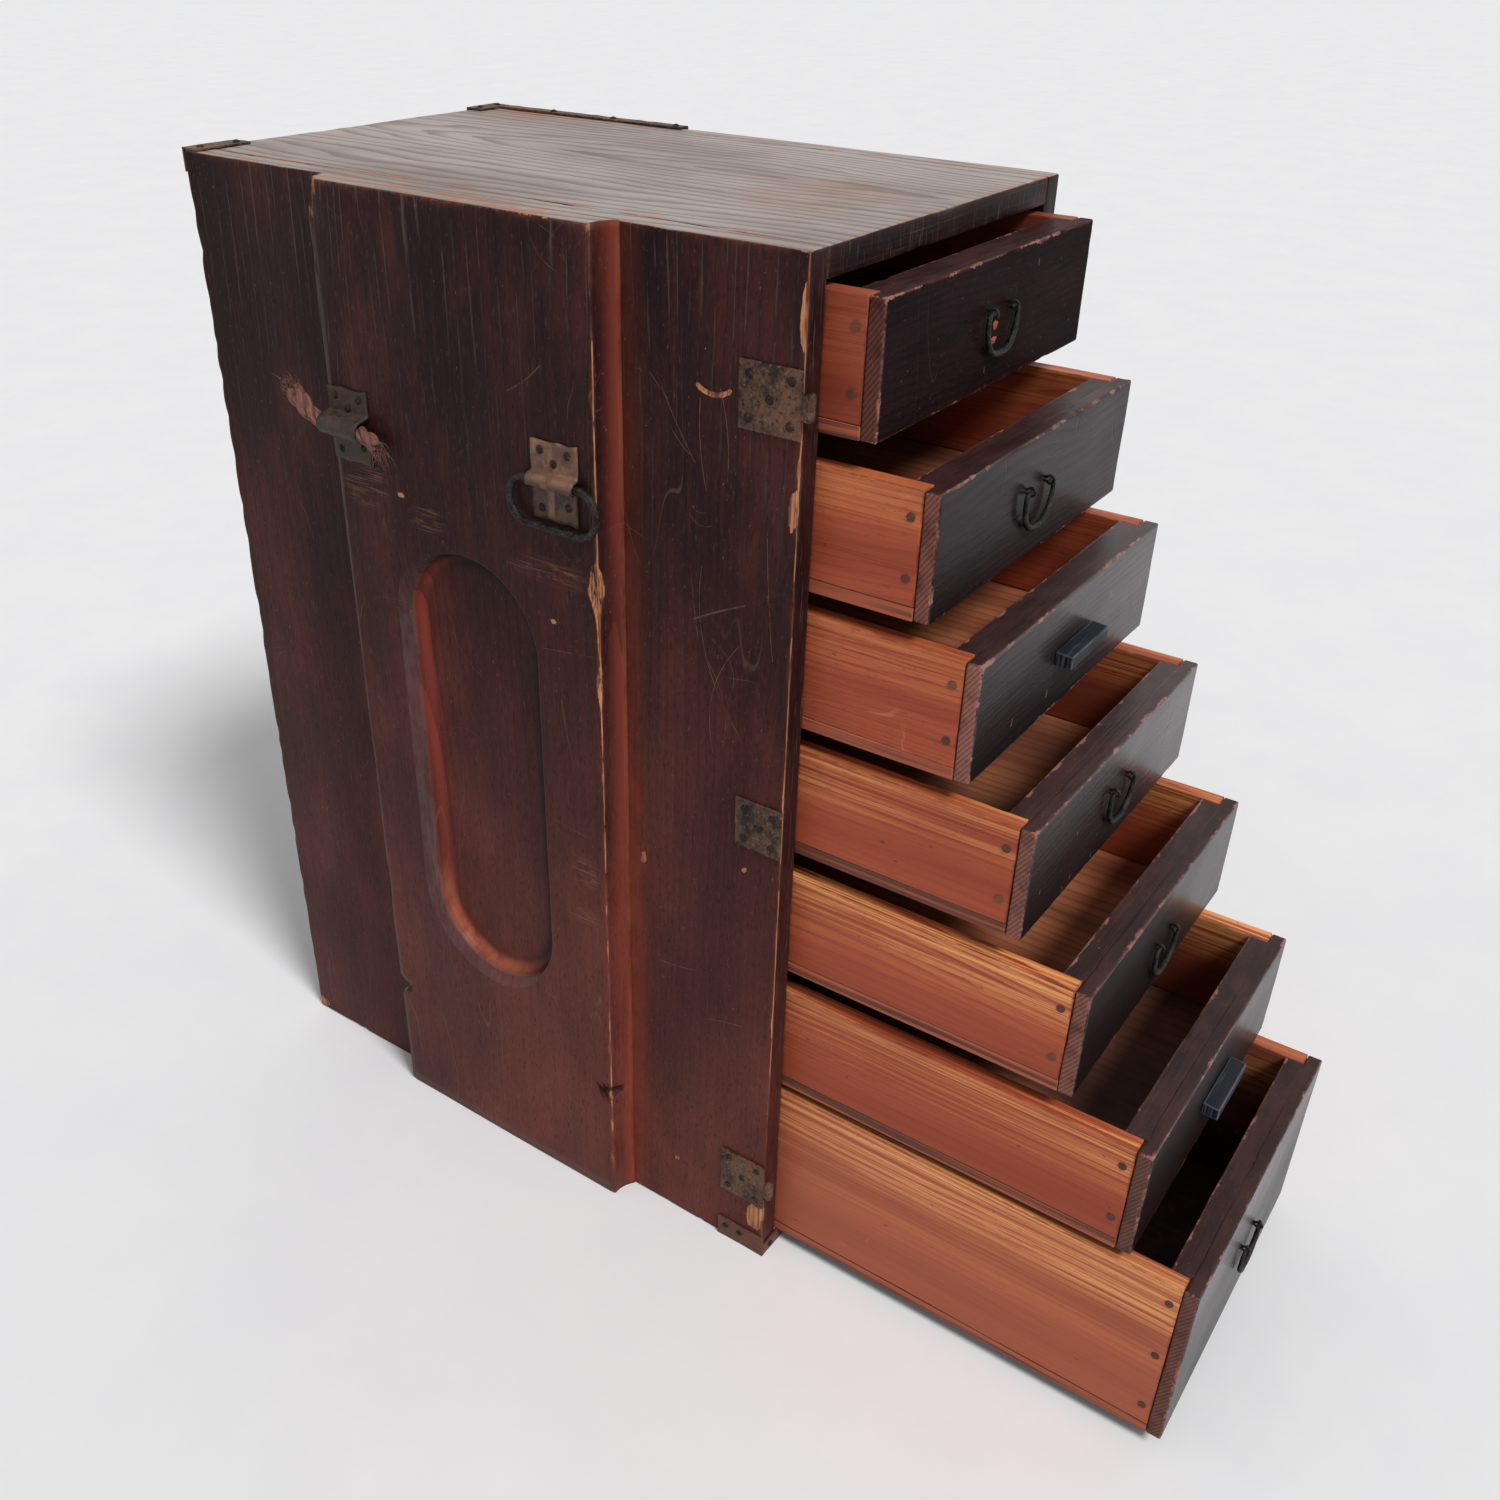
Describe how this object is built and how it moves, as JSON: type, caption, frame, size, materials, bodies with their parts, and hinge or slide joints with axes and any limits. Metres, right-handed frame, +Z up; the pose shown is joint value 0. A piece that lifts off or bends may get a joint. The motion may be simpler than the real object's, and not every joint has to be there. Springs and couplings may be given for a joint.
{
  "type": "carrying cabinet",
  "caption": "Tall wooden back-carried chest with stacked open drawers, iron bail and block pulls, corner irons, a raised pad board with a hollow, a strap ring and a rope end.",
  "frame": {"origin": "centre of the carcass's underside, on the floor", "axes": "+Z up; the drawers face -Y; the carrying pad is on the -X side"},
  "size_m": [0.2943, 0.6893, 0.6327],
  "materials": {
    "dark_lacquer": "worn dark reddish brown lacquer",
    "weathered_top": "bare weathered grey brown wood",
    "front_lacquer": "worn semi-gloss black brown lacquer",
    "drawer_wood": "oiled orange red cedar",
    "bottom_wood": "plain brown wood",
    "peg_wood": "plain brown wood",
    "runner_wood": "plain brown wood",
    "block_wood": "dark blue black stain",
    "iron": "dark wrought iron with rust",
    "rope": "twisted reddish brown straw"
  },
  "bodies": {
    "carcass": {"top_board": "weathered_top", "bottom_board": "dark_lacquer", "left_side_board": "dark_lacquer", "right_side_board": "dark_lacquer", "back_board": "dark_lacquer", "back_pad_board": "dark_lacquer", "drawer_runners": "runner_wood", "front_edge_irons": "iron", "corner_irons": "iron", "strap_saddles": "iron", "iron_nails": "iron", "strap_rope": "rope"},
    "drawer_1": {"drawer_1_front": "front_lacquer", "drawer_1_sides": "drawer_wood", "drawer_1_back": "drawer_wood", "drawer_1_bottom": "bottom_wood", "drawer_1_pegs": "peg_wood", "drawer_1_pull_posts": "iron"},
    "bail_1": {"drawer_1_bail": "iron"},
    "drawer_2": {"drawer_2_front": "front_lacquer", "drawer_2_sides": "drawer_wood", "drawer_2_back": "drawer_wood", "drawer_2_bottom": "bottom_wood", "drawer_2_pegs": "peg_wood", "drawer_2_pull_posts": "iron"},
    "bail_2": {"drawer_2_bail": "iron"},
    "drawer_3": {"drawer_3_front": "front_lacquer", "drawer_3_sides": "drawer_wood", "drawer_3_back": "drawer_wood", "drawer_3_bottom": "bottom_wood", "drawer_3_pegs": "peg_wood", "drawer_3_block_pull": "block_wood"},
    "drawer_4": {"drawer_4_front": "front_lacquer", "drawer_4_sides": "drawer_wood", "drawer_4_back": "drawer_wood", "drawer_4_bottom": "bottom_wood", "drawer_4_pegs": "peg_wood", "drawer_4_pull_posts": "iron"},
    "bail_4": {"drawer_4_bail": "iron"},
    "drawer_5": {"drawer_5_front": "front_lacquer", "drawer_5_sides": "drawer_wood", "drawer_5_back": "drawer_wood", "drawer_5_bottom": "bottom_wood", "drawer_5_pegs": "peg_wood", "drawer_5_pull_posts": "iron"},
    "bail_5": {"drawer_5_bail": "iron"},
    "drawer_6": {"drawer_6_front": "front_lacquer", "drawer_6_sides": "drawer_wood", "drawer_6_back": "drawer_wood", "drawer_6_bottom": "bottom_wood", "drawer_6_pegs": "peg_wood", "drawer_6_block_pull": "block_wood"},
    "drawer_7": {"drawer_7_front": "front_lacquer", "drawer_7_sides": "drawer_wood", "drawer_7_back": "drawer_wood", "drawer_7_bottom": "bottom_wood", "drawer_7_pegs": "peg_wood", "drawer_7_pull_posts": "iron"},
    "bail_7": {"drawer_7_bail": "iron"},
    "strap_ring": {"strap_ring": "iron"}
  },
  "joints": [
    {"name": "drawer_1_slide", "type": "slide", "parent": "carcass", "child": "drawer_1", "axis": [0, -1, 0], "range_m": [-0.0297, 0.2703]},
    {"name": "bail_1_hinge", "type": "hinge", "parent": "drawer_1", "child": "bail_1", "pos_m": [0.003, -0.2427, 0.5853], "axis": [-1, 0, 0], "range_deg": [0, 95]},
    {"name": "drawer_2_slide", "type": "slide", "parent": "carcass", "child": "drawer_2", "axis": [0, -1, 0], "range_m": [-0.0651, 0.2349]},
    {"name": "bail_2_hinge", "type": "hinge", "parent": "drawer_2", "child": "bail_2", "pos_m": [-0.006, -0.2781, 0.5043], "axis": [-1, 0, 0], "range_deg": [0, 95]},
    {"name": "drawer_3_slide", "type": "slide", "parent": "carcass", "child": "drawer_3", "axis": [0, -1, 0], "range_m": [-0.0951, 0.2049]},
    {"name": "drawer_4_slide", "type": "slide", "parent": "carcass", "child": "drawer_4", "axis": [0, -1, 0], "range_m": [-0.1337, 0.1663]},
    {"name": "bail_4_hinge", "type": "hinge", "parent": "drawer_4", "child": "bail_4", "pos_m": [0, -0.3467, 0.3481], "axis": [-1, 0, 0], "range_deg": [0, 95]},
    {"name": "drawer_5_slide", "type": "slide", "parent": "carcass", "child": "drawer_5", "axis": [0, -1, 0], "range_m": [-0.1748, 0.1252]},
    {"name": "bail_5_hinge", "type": "hinge", "parent": "drawer_5", "child": "bail_5", "pos_m": [0, -0.3878, 0.2615], "axis": [-1, 0, 0], "range_deg": [0, 95]},
    {"name": "drawer_6_slide", "type": "slide", "parent": "carcass", "child": "drawer_6", "axis": [0, -1, 0], "range_m": [-0.2219, 0.0781]},
    {"name": "drawer_7_slide", "type": "slide", "parent": "carcass", "child": "drawer_7", "axis": [0, -1, 0], "range_m": [-0.2618, 0.0382]},
    {"name": "bail_7_hinge", "type": "hinge", "parent": "drawer_7", "child": "bail_7", "pos_m": [0, -0.4748, 0.0753], "axis": [-1, 0, 0], "range_deg": [0, 95]},
    {"name": "strap_ring_hinge", "type": "hinge", "parent": "carcass", "child": "strap_ring", "pos_m": [-0.1509, -0.075, 0.502], "axis": [0, 1, 0], "range_deg": [0, 160]}
  ]
}
